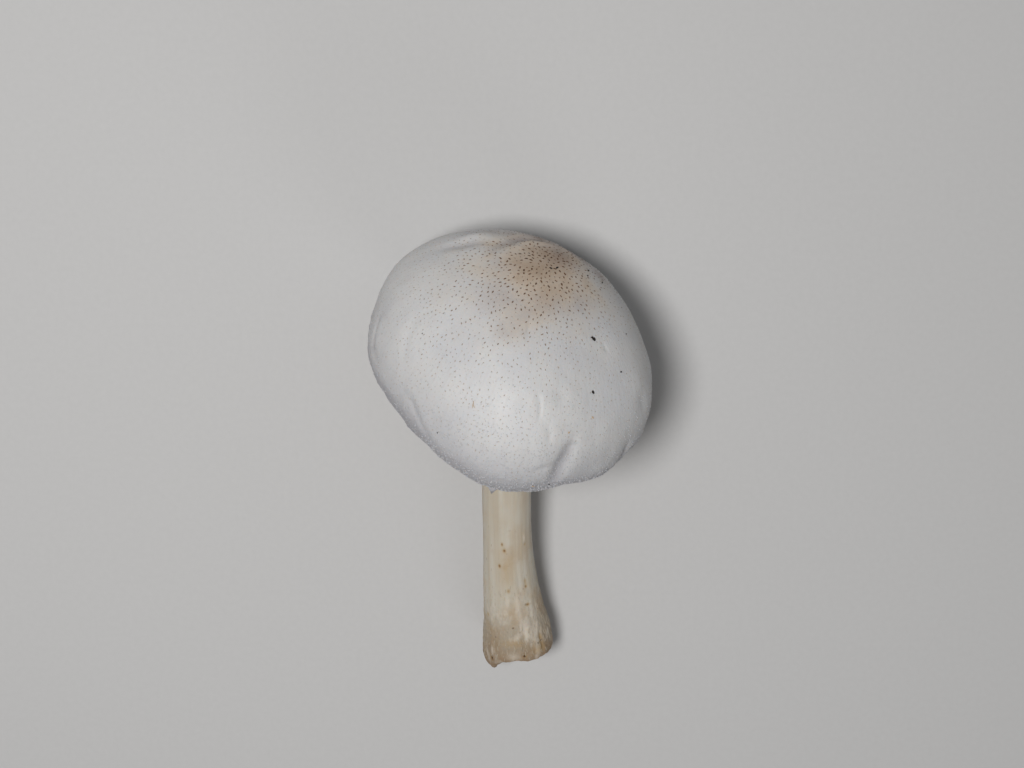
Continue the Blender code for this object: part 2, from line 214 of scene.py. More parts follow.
def makeFrost():
    # Loose surface cells near the margin: glassy white grains that make it look frosted.
    look = {"grey": "#a3a2a6", "glassy": "#cfcfd2", "plain": "#cbcbcb"}
    material, add = newMaterial("frosted margin grains")
    angle = add("ShaderNodeAttribute", attribute_name="angle").outputs["Fac"]
    place = add("ShaderNodeTexCoord").outputs["Object"]
    uneven = add("ShaderNodeTexNoise", {"Vector": place, "Scale": 1 / (0.714 * mm), "Detail": 1.0})
    near = add("ShaderNodeMapRange", {0: angle, 1: 60.0, 2: 105.0}, **smoothStep)
    grey, glassy = hexColour(look["grey"]), hexColour(look["glassy"])
    mixed = add("ShaderNodeMix", {0: uneven, 6: grey, 7: glassy}, **blend)
    colour = add("ShaderNodeMix", {0: near, 6: hexColour(look["plain"]), 7: mixed}, **blend)
    shader = add("ShaderNodeBsdfPrincipled", {
        "Base Color": colour, "Roughness": 0.42, "IOR": 1.4, "Subsurface Weight": 0.3,
        "Subsurface Radius": (1.0, 0.75, 0.6), "Subsurface Scale": 0.6 * mm,
    })
    add("ShaderNodeOutputMaterial", {"Surface": shader})
    return material


def makeGillTissue():
    # Gill tissue of a shield cap: soft, matt and flesh pink from its ripening spores, paler at the edges,
    # and darker towards the roots with painted shade.
    look = {"pink": "#e8c9ba", "pale": "#f1ddd2", "edge": "#f3e6dc", "deep": "#d9a893"}
    material, add = newMaterial("pink gill tissue")
    place = add("ShaderNodeTexCoord").outputs["Object"]
    hang = add("ShaderNodeAttribute", attribute_name="hangShare").outputs["Fac"]
    clouds = add("ShaderNodeTexNoise", {"Vector": place, "Scale": 1 / (6.25 * mm), "Detail": 3.0})
    # spores are 0.007 mm across, so their powder is drawn as grains of 0.3 mm
    spores = add("ShaderNodeTexNoise", {"Vector": place, "Scale": 1 / (0.3125 * mm), "Detail": 1.0})
    edgeShare = add("ShaderNodeMapRange", {0: hang, 1: 0.55, 2: 1.0, 4: 0.6}, **smoothStep)
    # painted shade: a darker pink towards the roots, between the gills
    rootShadeShare = add("ShaderNodeMapRange", {0: hang, 1: 0.35, 2: 0.0, 4: 0.5}, **smoothStep)
    colour = hexColour(look["pink"])
    for share, tint in ((clouds, "pale"), (edgeShare, "edge"), (rootShadeShare, "deep")):
        colour = add("ShaderNodeMix", {0: share, 6: colour, 7: hexColour(look[tint])}, **blend)
    bump = add("ShaderNodeBump", {"Height": spores, "Strength": 0.25, "Distance": 0.05 * mm})
    shader = add("ShaderNodeBsdfPrincipled", {
        "Base Color": colour, "Roughness": 0.62, "IOR": 1.4, "Normal": bump, "Subsurface Weight": 0.3,
        "Subsurface Radius": (1.0, 0.55, 0.4), "Subsurface Scale": 0.8 * mm,
    })
    add("ShaderNodeOutputMaterial", {"Surface": shader})
    return material


def makeStemFlesh():
    # Stem flesh: cream and silky above, felted and stained brown below. Its fibres are 0.01 mm thick, so they
    # are drawn in bundles of 0.3 mm.
    look = {
        "silk": "#c9c3b6", "cream": "#bfb5a4", "tan": "#b7a184", "shade": "#938069", "felt": "#d3cabc",
        "patch": "#b2986f", "fleck": "#7d5b38", "stain": "#8c7054", "speck": "#4b3420", "fibre": "#b0a18a",
        "pit": "#23170e", "pith": "#cbbda5", "dryPith": "#a48d72", "tornRim": "#846b52",
    }
    material, add = newMaterial("fibrous cream stem flesh")
    place = add("ShaderNodeTexCoord").outputs["Object"]
    fromFoot, torn, stain = (
        add("ShaderNodeAttribute", attribute_name=name).outputs["Fac"]
        for name in ("fromFoot", "torn", "stain"))
    streakAt = add("ShaderNodeAttribute", attribute_name="streak").outputs["Vector"]
    fibres = add("ShaderNodeTexNoise", {"Vector": streakAt, "Scale": 1.0, "Detail": 4.0})  # 0.3 mm wide
    wide = add("ShaderNodeTexNoise", {"Vector": streakAt, "Scale": 0.22, "Detail": 2.0})
    clouds = add("ShaderNodeTexNoise", {"Vector": place, "Scale": 1 / (6.67 * mm), "Detail": 4.0})
    blotches = add("ShaderNodeTexNoise", {"Vector": place, "Scale": 1 / (2.38 * mm), "Detail": 3.0})
    felt = add("ShaderNodeTexNoise", {"Vector": place, "Scale": 1 / (0.77 * mm), "Detail": 3.0})
    longWay = add("ShaderNodeVectorMath", {0: place, 1: (1.0, 0.4, 1.0)}, **times)
    feltAt = add("ShaderNodeTexNoise", {"Vector": longWay, "Scale": 1 / (2.38 * mm), "Detail": 3.0})
    specks = add("ShaderNodeTexVoronoi", {"Vector": place, "Scale": 1 / (1.61 * mm)})

    silkShare = add("ShaderNodeMapRange", {0: wide, 1: 0.3, 2: 0.7}, **smoothStep)
    lowDown = add("ShaderNodeMapRange", {0: fromFoot, 1: 50.0, 2: 18.0, 3: 0.12, 4: 0.7}, **smoothStep)
    tanShare = add("ShaderNodeMapRange", {0: clouds, 1: 0.42, 2: 0.62}, **smoothStep)
    tanShare = add("ShaderNodeMath", {0: tanShare, 1: lowDown}, **times)
    shadeShare = add("ShaderNodeMapRange", {0: fromFoot, 1: 20.0, 2: 4.0, 4: 0.75}, **smoothStep)
    feltShare = add("ShaderNodeMapRange", {0: feltAt, 1: 0.5, 2: 0.66}, **smoothStep)
    feltLow = add("ShaderNodeMapRange", {0: fromFoot, 1: 27.0, 2: 12.0, 4: 0.7}, **smoothStep)
    feltShare = add("ShaderNodeMath", {0: feltShare, 1: feltLow}, **times)
    paleShare = add("ShaderNodeMapRange", {0: stain, 1: 0.0, 2: -1.0, 4: 0.8}, **smoothStep)
    patchShare = add("ShaderNodeMapRange", {0: stain, 1: 0.0, 2: 1.0, 4: 0.75}, **smoothStep)
    fleckShare = add("ShaderNodeMapRange", {0: stain, 1: 0.7, 2: 1.3, 4: 0.75}, **smoothStep)
    pitShare = add("ShaderNodeMapRange", {0: stain, 1: 1.7, 2: 2.4, 4: 0.85}, **smoothStep)
    endAt = add("ShaderNodeMath", {0: fromFoot, 1: 4.5}, operation="SUBTRACT")
    endAt = add("ShaderNodeMath", {0: blotches, 1: 9.0, 2: endAt}, **timesPlus)
    stainShare = add("ShaderNodeMapRange", {0: endAt, 1: 7.0, 2: -1.0, 4: 0.6}, **smoothStep)
    speckShare = add("ShaderNodeMapRange", {0: specks.outputs["Distance"], 1: 0.24, 2: 0.14}, **smoothStep)
    speckGate = add("ShaderNodeMapRange", {0: blotches, 1: 0.56, 2: 0.62}, **smoothStep)
    speckLow = add("ShaderNodeMapRange", {0: fromFoot, 1: 30.0, 2: 2.0, 3: 0.12, 4: 0.8}, **smoothStep)
    speckShare = add("ShaderNodeMath", {0: speckShare, 1: speckGate}, **times)
    speckShare = add("ShaderNodeMath", {0: speckShare, 1: speckLow}, **times)
    fibreShare = add("ShaderNodeMapRange", {0: fibres, 1: 0.5, 2: 0.8, 4: 0.16}, **smoothStep)
    dryShare = add("ShaderNodeMapRange", {0: blotches, 1: 0.35, 2: 0.7}, **smoothStep)
    tornShare = add("ShaderNodeMapRange", {0: torn, 1: 0.1, 2: 0.55}, **smoothStep)
    tornRim = add("ShaderNodeMapRange", {0: torn, 1: 0.95, 2: 0.6, 4: 0.8}, **smoothStep)
    colour = hexColour(look["cream"])
    for share, tint in ((silkShare, "silk"), (tanShare, "tan"), (shadeShare, "shade"), (feltShare, "felt"),
                        (paleShare, "felt"), (patchShare, "patch"), (fleckShare, "fleck"),
                        (stainShare, "stain"), (speckShare, "speck"), (fibreShare, "fibre"),
                        (pitShare, "pit")):
        colour = add("ShaderNodeMix", {0: share, 6: colour, 7: hexColour(look[tint])}, **blend)
    pith = hexColour(look["pith"])
    for share, tint in ((dryShare, "dryPith"), (tornRim, "tornRim")):
        pith = add("ShaderNodeMix", {0: share, 6: pith, 7: hexColour(look[tint])}, **blend)
    colour = add("ShaderNodeMix", {0: tornShare, 6: colour, 7: pith}, **blend)

    rough = add("ShaderNodeMapRange", {0: fromFoot, 1: 6.0, 2: 45.0, 3: 0.75, 4: 0.42}, **smoothStep)
    feltBump = add("ShaderNodeMapRange", {0: fromFoot, 1: 30.0, 2: 8.0, 3: 0.08, 4: 0.8}, **smoothStep)
    bump = add("ShaderNodeBump", {"Height": fibres, "Strength": 0.4, "Distance": 0.16 * mm})
    bump = add("ShaderNodeBump", {
        "Height": felt, "Strength": feltBump, "Distance": 0.25 * mm, "Normal": bump})
    shader = add("ShaderNodeBsdfPrincipled", {
        "Base Color": colour, "Roughness": rough, "IOR": 1.4, "Normal": bump, "Subsurface Weight": 0.3,
        "Subsurface Radius": (1.0, 0.7, 0.45), "Subsurface Scale": 1.3 * mm,
    })
    add("ShaderNodeOutputMaterial", {"Surface": shader})
    return material


def makeMatt(name, dark, light, size):
    # A matt material that wavers between two colours over about size mm: soil, bark dust, dry fibres, card.
    material, add = newMaterial(name)
    place = add("ShaderNodeTexCoord").outputs["Object"]
    uneven = add("ShaderNodeTexNoise", {"Vector": place, "Scale": 1 / (size * mm), "Detail": 2.0})
    colour = add("ShaderNodeMix", {0: uneven, 6: hexColour(dark), 7: hexColour(light)}, **blend)
    shader = add("ShaderNodeBsdfPrincipled", {"Base Color": colour, "Roughness": 0.85})
    add("ShaderNodeOutputMaterial", {"Surface": shader})
    return material


# The cap's form, the same as in the CAD, with every fold of the skin drawn finer

capForm = {
    "origin": (0.721, 26.694, 23.748),  # the middle of its widest level, over the table
    "elevation": 25.5,  # how far its axis points up, in degrees
    "turn": 17.0,  # and how far it turns to +X
    "radius": 31.8,
    "waves": ((1, 4.8, -104), (2, 2.0, -41), (3, 0.9, 33), (4, 0.35, -12), (5, 0.25, -13), (6, 0.35, -27)),
    "domeHeight": 28.0,
    "marginDrop": 8.0,
    "marginRoll": 7.0,
    "edgeAngle": 148.0,
    "pressedRadius": 25.7,
    "fleshAtDisc": 7.0,
    "fleshAtMargin": 0.9,
    "edgeThickness": 0.45,
    "around": 520,
    "skinRings": 134,
    "underRings": 26,
}

# Folds of the skin: (path of (angle from the disc, direction) in degrees, half-width in mm, height in mm).
# Below zero it is a crease, above zero a ridge or swelling.
skinFolds = (
    # the large fold beside the stem, and the swelling on its right
    (((73, 295), (78.6, 293.5), (84.6, 292.2), (98, 291.5)), 1.7, -1.0),
    (((78, 300.5), (86, 299.5), (96, 299)), 3.2, 0.25),
    (((88, 308), (99, 309)), 4.5, 0.4),
    # two short creases above it, each with its lip
    (((52.6, 278.8), (57, 280.2), (62, 280.8)), 0.5, -0.26),
    (((64.6, 283.8), (67.8, 285.5), (71.6, 285.8)), 0.7, -0.24),
    (((66, 281.6), (70, 282.6), (77, 283)), 1.6, 0.12),
    (((74.6, 293), (73.6, 296.8), (75.8, 300)), 0.45, -0.3),
    (((72.2, 296), (71.8, 299)), 0.6, 0.16),
    (((85.4, 283), (83.6, 287.2), (81.8, 291.2)), 0.6, -0.3),
    # the left side
    (((79.6, 192.8), (84, 195.2), (87.6, 199.2), (87.6, 206.8)), 0.9, -0.5),
    (((76, 196), (80, 199.5), (82.5, 205)), 1.6, 0.3),
    (((57.6, 211.5), (62.8, 214.5), (70.6, 219.8), (76.2, 223.2)), 1.2, -0.2),
    (((58, 206), (64, 209), (71, 214)), 2.2, 0.16),
    (((84.6, 228.5), (84.8, 234), (88.2, 239.8), (95.4, 244.5), (104, 247)), 0.8, -0.34),
    (((81, 230), (82, 236), (85.6, 241.8), (92, 247)), 1.5, 0.22),
    (((52.4, 286.8), (54, 289)), 1.6, -0.24),
    (((57, 331.2),), 2.8, 0.3),
    # the hollow behind the disc and the ridge in front of it
    (((16.5, 178), (13.4, 150), (17.5, 112), (20.5, 82), (26, 58)), 1.0, 0.42),
    (((21, 172), (18.6, 146), (23.5, 110), (26.5, 80)), 1.7, -0.72),
    (((36.2, 159), (31.8, 154.8), (28.8, 147.5)), 2.2, 0.62),
    (((44.2, 168), (34, 168), (24.5, 160)), 1.8, -0.5),
    (((26.8, 266.3), (29.8, 267.2), (33.8, 267.8)), 0.5, -0.17),
    (((37.6, 317.5), (39.8, 318)), 0.5, -0.12),
    (((84, 323.8), (92, 323.2), (102, 322.5)), 1.1, -0.55),
    (((63.8, 331), (72, 333)), 1.4, -0.2),
    # low swellings that make the outline uneven
    (((33, 107),), 6.0, 0.5),
    (((39, 129),), 4.0, 0.35),
    (((68, 157), (73, 163)), 5.0, 0.5),
    (((98, 178), (110, 193), (122, 207)), 4.0, 0.42),
    (((137.5, 237),), 3.0, 0.3),
    (((134, 266), (136, 284)), 5.0, 0.6),
    (((129, 300),), 2.5, -0.4),
    (((117, 313),), 3.5, 0.45),
    (((115, 326), (102, 330)), 2.2, -0.45),
    (((67, 356),), 4.0, 0.25),
    (((38, 41),), 4.0, 0.25),
    (((70, 348),), 2.5, -0.2),
)

# Smears of brown, partly stains and partly painted shade: (angle from the disc and direction in degrees,
# width in mm, strength). The row beyond the disc, at 25 to 31 degrees from direction 28 to 143, is painted
# shade where the skin turns away from the light.
skinSmearsAndShade = (
    (31.8, 258.8, 3.0, 0.35), (27.5, 236.0, 4.2, 0.36), (17.6, 278.8, 4.0, 0.4), (19.5, 318.5, 4.0, 0.36),
    (10.0, 60.0, 4.5, 0.8), (37.0, 255.0, 2.6, 0.2), (14.0, 200.0, 4.5, 0.3), (24.0, 262.0, 4.0, 0.25),
    (25.0, 124.0, 2.6, 0.8), (27.0, 100.0, 2.8, 1.1), (26.0, 78.0, 2.8, 1.1), (31.0, 143.0, 2.6, 0.35),
    (29.0, 52.0, 2.6, 0.9), (31.0, 28.0, 2.6, 0.6),
)


def rimRadius(direction):
    rim = capForm["radius"] + sum(h * np.cos(n * (direction - np.radians(c))) for n, h, c in capForm["waves"])
    return np.minimum(rim, capForm["pressedRadius"] / np.maximum(np.sin(direction), 0.5))


def capPoint(angle, direction, depth=0.0):
    # angle from the disc and direction round the axis, in radians; depth under the smooth skin
    rim, high = rimRadius(direction), capForm["domeHeight"]
    drop, roll = capForm["marginDrop"], capForm["marginRoll"]
    onDome = angle <= math.pi / 2
    out = np.where(onDome, rim * np.sin(angle), rim - roll + roll * np.sin(angle))
    up = np.where(onDome, high, drop) * np.cos(angle)
    slopeOut = np.sin(angle) / np.where(onDome, rim, roll)
    slopeUp = np.cos(angle) / np.where(onDome, high, drop)
    size = np.hypot(slopeOut, slopeUp)
    out, up = out - depth * slopeOut / size, up - depth * slopeUp / size
    return np.stack([out * np.cos(direction), out * np.sin(direction), up + 0 * direction], -1)


def fleshDepth(angle):
    share = 0.5 + 0.5 * np.cos(math.pi * np.minimum(angle / math.radians(100), 1.0))
    return capForm["fleshAtMargin"] + (capForm["fleshAtDisc"] - capForm["fleshAtMargin"]) * share


capTurn = np.array(Matrix.Rotation(math.radians(-capForm["turn"]), 3, "Z")
                   @ Matrix.Rotation(math.radians(capForm["elevation"] - 90), 3, "X"))


def onTable(points):
    # from the cap's own axes to the row frame; what would reach under the table is pressed flat
    placed = points @ capTurn.T + np.array(capForm["origin"])
    placed[:, 2] = np.maximum(placed[:, 2], 0.0)
    return placed


def foldHeights(points):
    height = np.zeros(len(points))
    crease = np.zeros(len(points))
    for path, width, lift in skinFolds:
        corners = np.radians(np.array(path, float))
        spots = [corners[0]]
        for a, b in zip(corners[:-1], corners[1:]):
            spots += [a + (b - a) * t for t in np.linspace(0, 1, 9)[1:]]
        spots = np.array(spots)
        line = capPoint(spots[:, 0], spots[:, 1])
        ends = np.sin(np.linspace(0.25, math.pi - 0.25, len(line))) ** 0.7 if len(line) > 1 else np.ones(1)
        apart = np.linalg.norm(points[:, None, :] - line[None, :, :], axis=2)
        shape = (np.exp(-(apart / width) ** 2) * ends).max(axis=1)
        height += lift * shape
        if lift < 0:
            # this share also sets the painted crease shade in the skin's colour
            crease = np.maximum(crease, shape * min(1.0, -lift / 0.8))
    return height, crease


def undulation(points):
    return 0.30 * noiseOn(points, 11.0, 1)  # how the flesh under the skin rises and sinks, in mm


def skinRelief(skin, angle, spread):
    # how far each point is lifted, in mm, and how deep it lies in a crease, from 0 to 1
    lift, crease = foldHeights(skin)
    degrees = np.degrees(angle)
    steep = np.clip((degrees - 55) / 45, 0, 1)
    lift += undulation(skin)
    lift += (0.05 + 0.10 * steep) * noiseOn(skin, 3.6, 2)
    lift += (0.02 + 0.10 * steep**2) * noiseOn(skin, 1.15, 3, 2)  # frosted grains near the margin
    # shallow flutes down the sides
    fluteAt = np.stack([np.cos(spread) * 30, np.sin(spread) * 30, angle * 5], -1)
    lift += 0.05 * np.clip((degrees - 35) / 30, 0, 1) * noiseOn(fluteAt, 3.4, 5)
    return lift, crease


def makeCap(material):
    count = capForm["around"]
    direction = np.linspace(0, 2 * math.pi, count, endpoint=False)
    wander = np.array([noise.noise(Vector((math.cos(d) * 9, math.sin(d) * 9, 4))) for d in direction])
    edge = math.radians(capForm["edgeAngle"]) + np.radians(1.6) * wander
    shares = np.linspace(0, 1, capForm["skinRings"] + 1)[1:] ** 0.93
    angle = (shares[:, None] * edge).ravel()
    spread = np.tile(direction, len(shares))
    skin = capPoint(angle, spread)
    normal = skin - capPoint(angle, spread, 1.0)
    lift, crease = skinRelief(skin, angle, spread)
    skin = skin + normal * lift[:, None]

    underShares = np.linspace(1, 0.07, capForm["underRings"])
    underAngle = (underShares[:, None] * edge).ravel()
    underSpread = np.tile(direction, len(underShares))
    deep = fleshDepth(underAngle)
    deep[:count] = capForm["edgeThickness"]
    under = capPoint(underAngle, underSpread, deep)
    above = capPoint(underAngle, underSpread)
    under += (above - capPoint(underAngle, underSpread, 1.0)) * foldHeights(above)[0][:, None]

    top = capPoint(np.array([0.0]), np.array([0.0]))
    top[0, 2] += lift[:count].mean()
    ceiling = capPoint(np.array([0.0]), np.array([0.0]), capForm["fleshAtDisc"])
    local = np.concatenate([top, skin, under, ceiling])
    rings = len(shares) + len(underShares)
    faces = fanFaces(0, 1, count) + ringFaces(1, rings, count)
    faces += fanFaces(len(local) - 1, 1 + (rings - 1) * count, count)

    allAngle = np.concatenate([[0], angle, underAngle, [0]])
    allSpread = np.concatenate([[0], spread, underSpread, [0]])
    fromDisc = np.linalg.norm(local - local[0], axis=1)
    outward = capPoint(allAngle + 0.02, allSpread) - capPoint(allAngle, allSpread)
    outward /= np.maximum(np.linalg.norm(outward, axis=1), 1e-9)[:, None]
    fleshSide = np.concatenate([np.zeros(1 + len(skin)), np.ones(len(under) + 1)])
    fleshSide[1 + len(skin):1 + len(skin) + count] = 0.3
    # the flush and the scales reach further on the side that faces up and left
    toward = np.maximum(0, np.cos(allSpread - math.radians(235)))
    reach = fromDisc * (1 - 0.3 * toward)
    # smears of brown stain and of painted shade on the far side beyond the disc
    smear = np.zeros(len(local))
    for spot, bearing, wide, strength in skinSmearsAndShade:
        at = capPoint(np.radians([float(spot)]), np.radians([float(bearing)]))[0]
        smear += strength * np.exp(-(np.linalg.norm(local - at, axis=1) / wide) ** 2)
    skinSide = (fleshSide < 0.2) * 1.0
    degrees = np.degrees(allAngle)
    placed = onTable(local)
    clear = skinSide * (placed[:, 2] > 0.45)  # nothing is laid where the cap rests on the table
    scaleShare = np.interp(reach, [0, 8, 16, 26, 36, 48], [1.0, 0.97, 0.9, 0.84, 0.74, 0.3])
    scaleShare = scaleShare * clear * (degrees < 96)
    overStem = np.maximum(0, np.cos(allSpread - math.radians(280))) ** 3  # where the frost is thickest
    grainShare = np.clip((degrees - 42) / 60, 0, 1) ** 1.2 * (0.15 + 0.85 * overStem)
    grainShare = grainShare * clear * (degrees < 147)
    mesh = meshFrom("capSkin", placed, faces, {
        "reach": reach,
        "smear": np.clip(smear, 0, 1),
        "angle": degrees,
        "hollow": np.concatenate([[0], crease, np.zeros(len(under) + 1)]),
        "flesh": fleshSide,
        "streak": np.stack([np.cos(allSpread) * 62, np.sin(allSpread) * 62, fromDisc * 0.28], -1),
        "lie": outward @ capTurn.T,
        "share": scaleShare,
        "size": 0.48 + 0.5 * np.exp(-((reach / 15.0) ** 2)),
        "grainShare": grainShare,
        "grainSize": 0.6 + 0.45 * np.clip((degrees - 60) / 50, 0, 1),
    })
    return showPiece("capSkin", mesh, material, ["cap"])


flapForm = {"angle": 137.0, "from": 270.2, "to": 275.6, "tip": 273.4, "length": 2.5, "thickness": 0.4}


def makeFlap(material):
    # the small torn tip of the margin that hangs over the stem
    steps = np.linspace(0, 1, 9)
    bearing = np.radians(flapForm["from"] + (flapForm["to"] - flapForm["from"]) * steps)
    root = capPoint(np.full(9, math.radians(flapForm["angle"])), bearing, 0.2)
    tip = capPoint(np.radians([flapForm["angle"]]), np.radians([flapForm["tip"]]), 0.3)[0]
    tip = tip + np.array([0, -0.15, -1.0]) * flapForm["length"]
    middle = root * 0.45 + tip * 0.55 + np.array([0, 0, 0.12]) * np.sin(math.pi * steps)[:, None]
    inward = np.array([0, flapForm["thickness"], 0])
    outer = np.concatenate([root, middle, tip[None, :]])
    points = np.concatenate([outer, outer + inward * 0.9])
    faces = []
    for i in range(8):
        faces += [(i, i + 1, i + 10, i + 9), (i + 9, i + 10, 18)]
    under = [tuple(19 + v for v in reversed(face)) for face in faces]
    rim = list(range(9)) + [17, 18, 9]
    sides = [(a, b, b + 19, a + 19) for a, b in zip(rim, rim[1:] + rim[:1])]
    count = len(points)
    # the flap's hollow of 0.35 paints a little crease shade over all of it
    mesh = meshFrom("marginFlap", onTable(points), faces + under + sides, {
        "reach": np.full(count, 45.0), "angle": np.full(count, 132.0), "hollow": np.full(count, 0.35),
        "streak": points,
    })
    showPiece("marginFlap", mesh, material)


# Flecks that lie flat on a surface: one tree for the cap's scales, the margin's grains and the stem's fibrils

def makeFleckTree():
    tree = bpy.data.node_groups.new("flecks laid on a surface", "GeometryNodeTree")
    add = partial(addNode, tree)
    face = tree.interface
    face.new_socket("Surface", in_out="INPUT", socket_type="NodeSocketGeometry")
    for label, value in (("Spacing", 0.4 * mm), ("Most per area", 1e6), ("Length", 0.6 * mm),
                         ("Width", 0.2 * mm), ("Thickness", 0.1 * mm), ("Unevenness", 0.35), ("Turn", 0.3)):
        face.new_socket(label, in_out="INPUT", socket_type="NodeSocketFloat").default_value = value
    for label, value in (("Seed", 0), ("Sides", 6), ("Bands", 4)):
        face.new_socket(label, in_out="INPUT", socket_type="NodeSocketInt").default_value = value
    for label, value in (("Share named", "share"), ("Size named", "size")):
        face.new_socket(label, in_out="INPUT", socket_type="NodeSocketString").default_value = value
    face.new_socket("Material", in_out="INPUT", socket_type="NodeSocketMaterial")
    face.new_socket("Flecks", in_out="OUTPUT", socket_type="NodeSocketGeometry")
    given = tree.nodes.new("NodeGroupInput").outputs

    share = add("GeometryNodeInputNamedAttribute", {"Name": given["Share named"]})
    laid = add("GeometryNodeDistributePointsOnFaces", {
        "Mesh": given["Surface"], "Distance Min": given["Spacing"], "Density Max": given["Most per area"],
        "Density Factor": share, "Seed": given["Seed"]}, distribute_method="POISSON")

    # each fleck lies flat and points outwards from the disc or along the stem, give or take
    lie = add("GeometryNodeInputNamedAttribute", {"Name": "lie"}, data_type="FLOAT_VECTOR")
    wander = add("FunctionNodeRandomValue", {0: (-1, -1, -1), 1: (1, 1, 1), "Seed": 3},
                 data_type="FLOAT_VECTOR")
    stray = add("ShaderNodeVectorMath", {0: wander, "Scale": given["Turn"]}, operation="SCALE")
    heading = add("ShaderNodeVectorMath", {0: lie, 1: stray}, operation="ADD")
    upright = add("FunctionNodeAlignRotationToVector", {"Vector": laid.outputs["Normal"]}, axis="Z")
    turned = add("FunctionNodeAlignRotationToVector", {"Rotation": upright, "Vector": heading},
                 axis="X", pivot_axis="Z")

    size = add("GeometryNodeInputNamedAttribute", {"Name": given["Size named"]})
    low = add("ShaderNodeMath", {0: 1.0, 1: given["Unevenness"]}, operation="SUBTRACT")
    high = add("ShaderNodeMath", {0: 1.0, 1: given["Unevenness"]}, operation="ADD")
    vary = add("FunctionNodeRandomValue", {2: low, 3: high, "Seed": 5}, data_type="FLOAT")
    grown = add("ShaderNodeMath", {0: size, 1: vary}, **times)
    sizes = add("ShaderNodeCombineXYZ", {"X": given["Length"], "Y": given["Width"], "Z": given["Thickness"]})
    scaled = add("ShaderNodeVectorMath", {0: sizes, "Scale": grown}, operation="SCALE")
    fleck = add("GeometryNodeMeshUVSphere", {
        "Segments": given["Sides"], "Rings": given["Bands"], "Radius": 0.5})
    copies = add("GeometryNodeInstanceOnPoints", {
        "Points": laid, "Instance": fleck, "Rotation": turned, "Scale": scaled})
    real = add("GeometryNodeRealizeInstances", {"Geometry": copies})
    done = add("GeometryNodeSetMaterial", {"Geometry": real, "Material": given["Material"]})
    add("NodeGroupOutput", {"Flecks": done})
    return tree


def growWithNodes(name, mesh, tree, values):
    guide = bpy.data.objects.new(name + "Guide", mesh)
    bpy.context.scene.collection.objects.link(guide)
    grower = guide.modifiers.new(name, "NODES")
    grower.node_group = tree
    for item in tree.interface.items_tree:
        if item.in_out == "INPUT" and item.name in values:
            grower[item.identifier] = values[item.name]
    bpy.context.view_layer.update()
    result = bpy.data.meshes.new_from_object(guide.evaluated_get(bpy.context.evaluated_depsgraph_get()))
    guide.modifiers.remove(grower)
    bpy.data.objects.remove(guide)
    points = np.empty(len(result.vertices) * 3, np.float32)
    result.vertices.foreach_get("co", points)
    points[2::3] = np.maximum(points[2::3], 0)  # nothing reaches under the table
    result.vertices.foreach_set("co", points)
    result.name = name
    result.shade_smooth()
    return result


# Gills: every one hangs from the flesh, found by its place on the ceiling's map

gillForm = {
    "count": 288,  # of these every fourth runs from the stem's ring to the margin
    "depth": 7.4,
    "thickness": 0.3,
    "secondTier": 0.36,  # where the half-length gills start, as a share of the way out
    "thirdTier": 0.64,
    "freeRing": 7.7,
    "outerAngle": 139.0,
    "rootSink": 0.4,
    "waviness": 0.16,
    # depth by the way out: (share, share of full depth)
    "profile": ((0.0, 0.16), (0.06, 0.42), (0.2, 0.86), (0.36, 1.0), (0.6, 0.82), (0.85, 0.42), (1.0, 0.06)),
}


def gillCeiling():
    # the flesh's underside between the free ring and the margin, mapped by direction and way out
    around, rings = 240, 48
    direction = np.linspace(0, 2 * math.pi, around + 1)
    inner = np.arcsin(gillForm["freeRing"] / (rimRadius(direction) - capForm["fleshAtDisc"] - 1.0))
    shares = np.linspace(0, 1, rings)
    angle = inner[None, :] + (math.radians(gillForm["outerAngle"]) - inner[None, :]) * shares[:, None]
    spread = np.broadcast_to(direction, angle.shape).ravel()
    angle = angle.ravel()
    above = capPoint(angle, spread)
    points = capPoint(angle, spread, fleshDepth(angle))
    inwards = capPoint(angle, spread, fleshDepth(angle) + 1.0) - points
    points = points - inwards * foldHeights(above)[0][:, None]
    sideways = np.stack([-np.sin(spread), np.cos(spread), 0 * spread], -1)
    width = around + 1
    faces = [(r * width + i, r * width + i + 1, (r + 1) * width + i + 1, (r + 1) * width + i)
             for r in range(rings - 1) for i in range(around)]
    mesh = bpy.data.meshes.new("gillCeiling")
    placed = points @ capTurn.T + np.array(capForm["origin"])
    mesh.from_pydata((placed * mm).tolist(), [], faces)
    chart = mesh.uv_layers.new(name="chart")
    corners = np.zeros(len(mesh.loops), np.int32)
    mesh.loops.foreach_get("vertex_index", corners)
    flat = np.stack([np.tile(np.linspace(0, 1, width), rings), np.repeat(shares, width)], -1)
    chart.data.foreach_set("uv", flat[corners].astype(np.float32).ravel())
    for label, values in (("inwards", inwards @ capTurn.T), ("sideways", sideways @ capTurn.T)):
        vectors = mesh.attributes.new(label, "FLOAT_VECTOR", "POINT").data
        vectors.foreach_set("vector", values.astype(np.float32).ravel())
    return mesh


